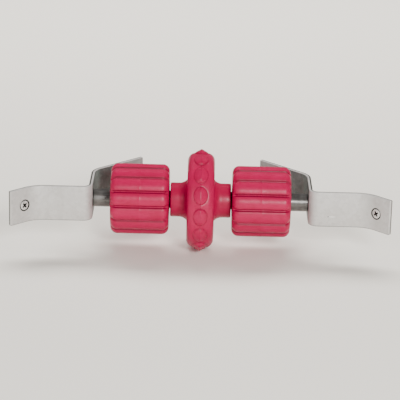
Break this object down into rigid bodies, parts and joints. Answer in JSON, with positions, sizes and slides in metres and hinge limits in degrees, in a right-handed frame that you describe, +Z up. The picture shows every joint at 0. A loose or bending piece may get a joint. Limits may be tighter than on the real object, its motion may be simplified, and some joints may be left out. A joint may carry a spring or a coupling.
{
  "type": "corner-mounted roller set",
  "caption": "Straight axle across a wall corner between bent strap brackets, with fluted end rollers and a knobbed disc roller that spin and slide on it.",
  "frame": {"origin": "centre of the bounding box; the axle's centre line lies 15.28 mm in front of it, at y = -0.01528", "axes": "+X along the axle towards the nut, -Y out into the room, +Y into the wall corner, +Z up across the strap's width"},
  "size_m": [0.3382, 0.1221, 0.0904],
  "materials": {
    "zinc_strap": "satin zinc",
    "axle_steel": "satin",
    "bright_zinc": "bright zinc",
    "red_rubber": "satin",
    "white_nylon": "matte"
  },
  "bodies": {
    "frame": {"left_bracket": "zinc_strap", "right_bracket": "zinc_strap", "axle_tube": "axle_steel", "through_bolt": "bright_zinc", "head_washer": "bright_zinc", "nut_washer": "bright_zinc", "lock_nut": "bright_zinc", "lock_nut_ring": "white_nylon", "left_outer_screw": "bright_zinc", "left_inner_screw": "bright_zinc", "right_outer_screw": "bright_zinc", "right_inner_screw": "bright_zinc"},
    "left_slider": {"left_sleeve": "white_nylon"},
    "left_roller": {"left_fluted_roller": "red_rubber"},
    "centre_slider": {"centre_sleeve": "white_nylon"},
    "centre_roller": {"centre_knob_roller": "red_rubber"},
    "right_slider": {"right_sleeve": "white_nylon"},
    "right_roller": {"right_fluted_roller": "red_rubber"}
  },
  "joints": [
    {"name": "left_slide", "type": "slide", "parent": "frame", "child": "left_slider", "axis": [1, 0, 0], "range_m": [-0.0155, 0]},
    {"name": "left_spin", "type": "hinge", "parent": "left_slider", "child": "left_roller", "pos_m": [-0.05415, -0.01528, 0], "axis": [1, 0, 0], "continuous": true},
    {"name": "centre_slide", "type": "slide", "parent": "frame", "child": "centre_slider", "axis": [1, 0, 0], "range_m": [-0.0008, 0.0008]},
    {"name": "centre_spin", "type": "hinge", "parent": "centre_slider", "child": "centre_roller", "pos_m": [0, -0.01528, 0], "axis": [1, 0, 0], "continuous": true},
    {"name": "right_slide", "type": "slide", "parent": "frame", "child": "right_slider", "axis": [1, 0, 0], "range_m": [0, 0.0155]},
    {"name": "right_spin", "type": "hinge", "parent": "right_slider", "child": "right_roller", "pos_m": [0.05415, -0.01528, 0], "axis": [1, 0, 0], "continuous": true}
  ]
}
